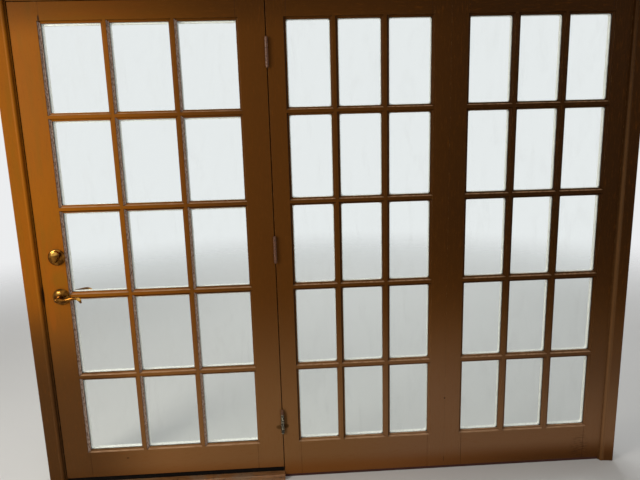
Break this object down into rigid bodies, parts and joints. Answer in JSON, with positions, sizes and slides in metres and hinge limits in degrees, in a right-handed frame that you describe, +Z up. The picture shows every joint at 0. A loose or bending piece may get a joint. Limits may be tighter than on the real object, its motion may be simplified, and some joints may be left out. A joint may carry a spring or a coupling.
{
  "type": "french doors",
  "caption": "French door unit in a wooden frame: a hinged glazed leaf beside fixed glazed panels, with divided panes, a lever latch and a deadbolt.",
  "frame": {"origin": "on the floor under the middle of the frame's width and depth", "axes": "+X along the wall to the right as seen from the room, +Y from the room to the outside, +Z up"},
  "size_m": [2.482, 0.2085, 2.053],
  "materials": {
    "room_paint": "satin caramel brown paint",
    "outside_paint": "weathered off-white paint",
    "threshold_wood": "worn varnish",
    "glass": "clear, slightly dusty",
    "brass": "polished, slightly tarnished",
    "hinge_steel": "painted over, worn to grey metal on the lowest hinge",
    "steel": "plain",
    "rubber": "matt"
  },
  "bodies": {
    "frame": {"left_jamb": "room_paint", "right_jamb": "room_paint", "head_jamb": "room_paint", "sill": "outside_paint", "threshold": "threshold_wood", "door_side_stop": "outside_paint", "door_head_stop": "outside_paint", "astragal": "outside_paint", "fixed_side_stop": "outside_paint", "fixed_head_stop": "outside_paint", "fixed_foot_stop": "outside_paint", "seam_batten": "outside_paint", "weatherstrips": "rubber", "casing_left": "room_paint", "casing_right": "room_paint", "casing_head": "room_paint", "brickmould": "outside_paint", "hinge_plates_frame": "hinge_steel", "hinge_pins": "hinge_steel", "latch_strike": "brass", "deadbolt_strike": "brass", "middle_left_stile": "room_paint", "middle_right_stile": "room_paint", "middle_top_rail": "room_paint", "middle_bottom_rail": "room_paint", "middle_panes": "glass", "middle_beads": "outside_paint", "middle_bars": "room_paint", "right_left_stile": "room_paint", "right_right_stile": "room_paint", "right_top_rail": "room_paint", "right_bottom_rail": "room_paint", "right_panes": "glass", "right_beads": "outside_paint", "right_bars": "room_paint"},
    "leaf": {"leaf_left_stile": "room_paint", "leaf_right_stile": "room_paint", "leaf_top_rail": "room_paint", "leaf_bottom_rail": "room_paint", "leaf_panes": "glass", "leaf_beads": "outside_paint", "leaf_upright_bars": "room_paint", "leaf_cross_bars": "room_paint", "hinge_plates_leaf": "hinge_steel", "door_sweep": "rubber", "latch_case": "brass", "deadbolt_case": "brass", "rose_inside": "brass", "rose_outside": "brass", "deadbolt_plate": "brass", "key_cylinder": "brass"},
    "lever_set": {"lever_inside": "brass", "lever_outside": "brass", "lever_spindle": "steel"},
    "latch": {"latch_bolt": "brass"},
    "turn": {"thumb_turn": "brass"},
    "bolt": {"deadbolt": "brass"},
    "plug": {"key_plug": "brass"}
  },
  "joints": [
    {"name": "leaf_swing", "type": "hinge", "parent": "frame", "child": "leaf", "pos_m": [-0.2375, -0.0645, 1], "axis": [0, 0, 1], "range_deg": [0, 170]},
    {"name": "lever_turn", "type": "hinge", "parent": "leaf", "child": "lever_set", "pos_m": [-1.105, -0.058, 0.867], "axis": [0, 1, 0], "range_deg": [0, 45], "stiffness_Nm_per_rad": 1, "springref_deg": -20.05},
    {"name": "latch_slide", "type": "slide", "parent": "leaf", "child": "latch", "axis": [1, 0, 0], "range_m": [0, 0.012]},
    {"name": "thumb_turn_turn", "type": "hinge", "parent": "leaf", "child": "turn", "pos_m": [-1.105, -0.058, 1.031], "axis": [0, 1, 0], "range_deg": [0, 90]},
    {"name": "deadbolt_throw", "type": "slide", "parent": "leaf", "child": "bolt", "axis": [-1, 0, 0], "range_m": [0, 0.025]},
    {"name": "key_turn", "type": "hinge", "parent": "leaf", "child": "plug", "pos_m": [-1.105, -0.014, 1.031], "axis": [0, 1, 0], "range_deg": [0, 90]}
  ],
  "couplings": [
    {"joint": "latch_slide", "follows": "lever_turn", "m_per_rad": 0.01527},
    {"joint": "deadbolt_throw", "follows": "thumb_turn_turn", "m_per_rad": 0.01591}
  ]
}
